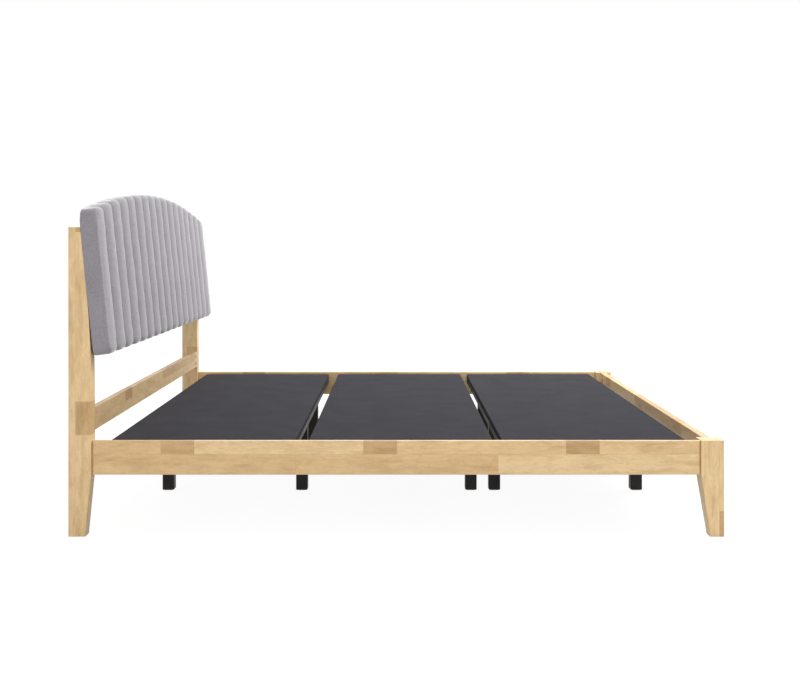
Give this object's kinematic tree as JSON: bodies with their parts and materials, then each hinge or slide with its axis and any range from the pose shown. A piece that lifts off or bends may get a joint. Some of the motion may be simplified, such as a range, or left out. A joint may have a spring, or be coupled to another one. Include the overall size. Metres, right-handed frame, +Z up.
{
  "type": "platform bed",
  "caption": "King-size platform bed: light wooden frame on tapered legs, leaning headboard with an arched channelled grey cushion, and a dark lift-out panel deck on steel legs.",
  "frame": {"origin": "on the floor under the middle of the bed", "axes": "+X towards the foot, +Y to the right side seen from the foot, +Z up"},
  "size_m": [2.172, 2.038, 1.1735],
  "materials": {
    "light_wood": "clear satin lacquer on finger-jointed hardwood",
    "dowel_wood": "raw",
    "plywood": "raw plywood",
    "grey_fabric": "woven upholstery cloth over foam",
    "black_cloth": "thin non-woven dust cover",
    "deck_cloth": "dark grey cloth stretched over a board",
    "black_steel": "matt powder coat",
    "black_cam": "blackened die-cast",
    "zinc_steel": "zinc plated",
    "brass_insert": "plain",
    "black_plastic": "moulded",
    "felt": "stick-on felt"
  },
  "bodies": {
    "bed_frame": {"head_post_left": "light_wood", "head_post_right": "light_wood", "head_rail": "light_wood", "side_rail_left": "light_wood", "side_rail_right": "light_wood", "foot_rail": "light_wood", "foot_leg_left": "light_wood", "foot_leg_right": "light_wood", "rail_dowels": "dowel_wood", "cam_locks": "black_cam", "cam_pins": "zinc_steel", "headboard_bolts": "zinc_steel", "ledge_screws": "zinc_steel", "headboard_inserts": "brass_insert", "headboard_cushion": "grey_fabric", "headboard_back_board": "plywood", "headboard_dust_cover": "black_cloth", "felt_pad_head_left": "felt", "felt_pad_head_right": "felt", "felt_pad_foot_left": "felt", "felt_pad_foot_right": "felt", "ledge_1_left": "black_steel", "ledge_1_right": "black_steel", "ledge_2_left": "black_steel", "ledge_2_right": "black_steel", "ledge_3_left": "black_steel", "ledge_3_right": "black_steel"},
    "deck_1": {"deck_1_board": "deck_cloth", "deck_1_frame": "black_steel", "deck_1_leg_head_left": "black_steel", "deck_1_leg_head_right": "black_steel", "deck_1_leg_foot_left": "black_steel", "deck_1_leg_foot_right": "black_steel", "deck_1_glides": "black_plastic", "deck_1_leg_bolts": "zinc_steel"},
    "deck_2": {"deck_2_board": "deck_cloth", "deck_2_frame": "black_steel", "deck_2_leg_foot_left": "black_steel", "deck_2_leg_foot_right": "black_steel", "deck_2_glides": "black_plastic", "deck_2_leg_bolts": "zinc_steel"},
    "deck_3": {"deck_3_board": "deck_cloth", "deck_3_frame": "black_steel", "deck_3_leg_head_left": "black_steel", "deck_3_leg_head_right": "black_steel", "deck_3_leg_foot_left": "black_steel", "deck_3_leg_foot_right": "black_steel", "deck_3_glides": "black_plastic", "deck_3_leg_bolts": "zinc_steel"}
  },
  "joints": [
    {"name": "deck_1_lift", "type": "slide", "parent": "bed_frame", "child": "deck_1", "axis": [0.1312, 0, 0.9914], "range_m": [0, 0.343]},
    {"name": "deck_2_lift", "type": "slide", "parent": "bed_frame", "child": "deck_2", "axis": [0, 0, 1], "range_m": [0, 0.34]},
    {"name": "deck_3_lift", "type": "slide", "parent": "bed_frame", "child": "deck_3", "axis": [0, 0, 1], "range_m": [0, 0.34]}
  ]
}
